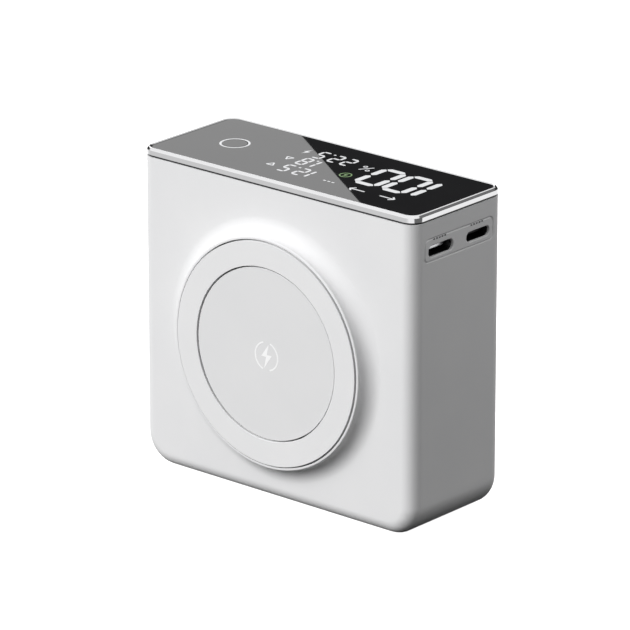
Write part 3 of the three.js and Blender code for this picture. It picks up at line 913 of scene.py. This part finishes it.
# What each direction holds, where x is right, y is back and z is up, each from -1 to 1.
# An edge is the span over which a surface fades in or out.
MATT_EDGE = (0.0, 0.50)
MATT_LEVEL = 0.64  # light from above on matt surfaces
ROOM_LEVEL = 0.03  # what mirrors see between the lit surfaces
SOFTBOX_EDGE = (0.40, 0.52)
SOFTBOX_DEPTH = (-0.45, 0.0)
SOFTBOX_LEVELS = (0.6, 0.9)  # over the front and over the back
FLAG_DIRECTION = (0.6, 0.8)  # back and to the right
FLAG_EDGE = (0.50, 0.66)
FLAG_SHADE = 0.15
WALL_EDGE = (-0.4, 0.0)
WALL_FOOT = (-0.1, 0.0)
WALL_LEVEL = 0.5
WALL_UPPER_SHARE = 0.65
GROUND_TOP = (-0.05, 0.02)
GROUND_FOOT = (-0.60, -0.42)
GROUND_SPAN = (-0.9, -0.5)
GROUND_LEVELS = (0.62, 0.92)  # in front on the left, and everywhere else
GROUND_END = (0.76, 0.84)
GROUND_END_SHADE = 0.12

CARD_EDGE = ((-0.0186, 0.0149), (0.0236, -0.0141))  # where the card's mirrored edge crosses the lens
CARD_SIDE = (-0.03, -0.01)  # a point of the lens that mirrors the card
CARD_DISTANCE = 0.9
CARD_SIZE = 0.5
CARD_POWER = 0.9


def make_floor():
    """A plain white floor that lights nothing and shows in no reflection."""
    half = FLOOR_HALF_SIZE
    mesh = bpy.data.meshes.new("floor")
    corners = [(-half, -half, 0), (half, -half, 0), (half, half, 0), (-half, half, 0)]
    mesh.from_pydata(corners, [], [(0, 1, 2, 3)])
    floor = bpy.data.objects.new("floor", mesh)
    floor.location.z = shell_low[2] * METRES - FLOOR_CLEARANCE
    bpy.context.collection.objects.link(floor)
    material, nodes, links, shader = node_material("floor")
    shader.inputs["Base Color"].default_value = (0.85, 0.85, 0.85, 1)
    shader.inputs["Roughness"].default_value = 1.0
    shader.inputs["Specular IOR Level"].default_value = 0.0
    shader.inputs["Emission Color"].default_value = (1, 1, 1, 1)
    shader.inputs["Emission Strength"].default_value = 1.0
    mesh.materials.append(material)
    floor.visible_diffuse = False
    floor.visible_glossy = False


def square_light(name, size, energy):
    """A linked square area light."""
    data = bpy.data.lights.new(name, "AREA")
    data.shape = "SQUARE"
    data.size = size
    data.energy = energy
    light = bpy.data.objects.new(name, data)
    bpy.context.collection.objects.link(light)
    return light


def make_area_light(name, direction, distance, size, energy):
    """A square light that faces the middle of the object and casts no mirror image."""
    light = square_light(name, size, energy)
    away = Vector(direction).normalized()
    light.location = Vector(LIGHT_TARGET) + away * distance
    light.rotation_euler = away.to_track_quat("Z", "Y").to_euler()
    light.visible_glossy = False


def make_world():
    """Soft light from above for matt surfaces, and a studio that only mirror reflections see."""
    world = bpy.data.worlds.new("studio")
    bpy.context.scene.world = world
    world.use_nodes = True
    nodes = world.node_tree.nodes
    links = world.node_tree.links

    def fade(value, edge, low, high):
        """A level that goes smoothly from low to high over the edge."""
        ranged = nodes.new("ShaderNodeMapRange")
        ranged.interpolation_type = "SMOOTHSTEP"
        set_range(ranged, *edge, low, high)
        links.new(value, ranged.inputs["Value"])
        return ranged.outputs["Result"]

    def calculated(operation, total, *others):
        """The sum or product of sockets and numbers."""
        for other in others:
            node = nodes.new("ShaderNodeMath")
            node.operation = operation
            for socket, value in zip(node.inputs, (total, other)):
                if isinstance(value, (int, float)):
                    socket.default_value = value
                else:
                    links.new(value, socket)
            total = node.outputs["Value"]
        return total

    split = nodes.new("ShaderNodeSeparateXYZ")
    links.new(nodes.new("ShaderNodeTexCoord").outputs["Generated"], split.inputs["Vector"])
    x, y, z = (split.outputs[axis] for axis in "XYZ")
    back_right = calculated("ADD", calculated("MULTIPLY", x, FLAG_DIRECTION[0]),
                            calculated("MULTIPLY", y, FLAG_DIRECTION[1]))

    softbox = calculated("MULTIPLY", fade(z, SOFTBOX_EDGE, 0, 1), fade(y, SOFTBOX_DEPTH, *SOFTBOX_LEVELS),
                         fade(back_right, FLAG_EDGE, 1, FLAG_SHADE))
    front_wall = calculated("MULTIPLY", fade(y, WALL_EDGE, WALL_LEVEL, 0), fade(z, WALL_FOOT, 0, 1),
                            fade(z, SOFTBOX_EDGE, 1, WALL_UPPER_SHARE))
    ground = calculated("MULTIPLY", fade(z, GROUND_TOP, 1, 0), fade(z, GROUND_FOOT, 0, 1),
                        fade(back_right, GROUND_SPAN, *GROUND_LEVELS),
                        fade(x, GROUND_END, 1, GROUND_END_SHADE))

    pick = nodes.new("ShaderNodeMix")
    links.new(nodes.new("ShaderNodeLightPath").outputs["Is Glossy Ray"], pick.inputs["Factor"])
    links.new(fade(z, MATT_EDGE, 0.0, MATT_LEVEL), pick.inputs["A"])
    links.new(calculated("ADD", softbox, ROOM_LEVEL, front_wall, ground), pick.inputs["B"])
    links.new(pick.outputs["Result"], nodes["Background"].inputs["Strength"])
    nodes["Background"].inputs["Color"].default_value = (1, 1, 1, 1)


def make_lens_card(camera):
    """A bright card behind the object that lights only mirror reflections. Its edge crosses the lens."""
    top = lens_high[2] * METRES
    lens_middle = Vector((0, 0, top))
    mirrored_eye = camera.location.copy()
    mirrored_eye.z = 2 * top - mirrored_eye.z
    centre_ray = (lens_middle - mirrored_eye).normalized()
    plane_point = lens_middle + centre_ray * CARD_DISTANCE
    seen = []
    for x, y in CARD_EDGE:
        ray = (Vector((x, y, top)) - mirrored_eye).normalized()
        reach = (plane_point - mirrored_eye).dot(centre_ray) / ray.dot(centre_ray)
        seen.append(mirrored_eye + ray * reach)
    along = (seen[1] - seen[0]).normalized()
    inward = centre_ray.cross(along)
    card_side = Vector((*CARD_SIDE, top))
    if (card_side - mirrored_eye).dot(inward) < (seen[0] - mirrored_eye).dot(inward):
        inward = -inward
    light = square_light("lens_card", CARD_SIZE, CARD_POWER)
    light.location = (seen[0] + seen[1]) / 2 + inward * CARD_SIZE / 2
    upwards = centre_ray.cross(inward)
    light.rotation_euler = Matrix((inward, upwards, centre_ray)).transposed().to_euler()
    light.visible_diffuse = False
    light.visible_transmission = False


camera = make_camera()
make_floor()
make_world()
make_area_light("key", direction=(-0.34, -0.80, 0.49), distance=3.0, size=2.2, energy=98)
make_area_light("side_fill", direction=(0.74, 0.35, 0.57), distance=0.28, size=0.12, energy=0.058)
make_lens_card(camera)
bpy.context.scene.view_settings.view_transform = "Standard"
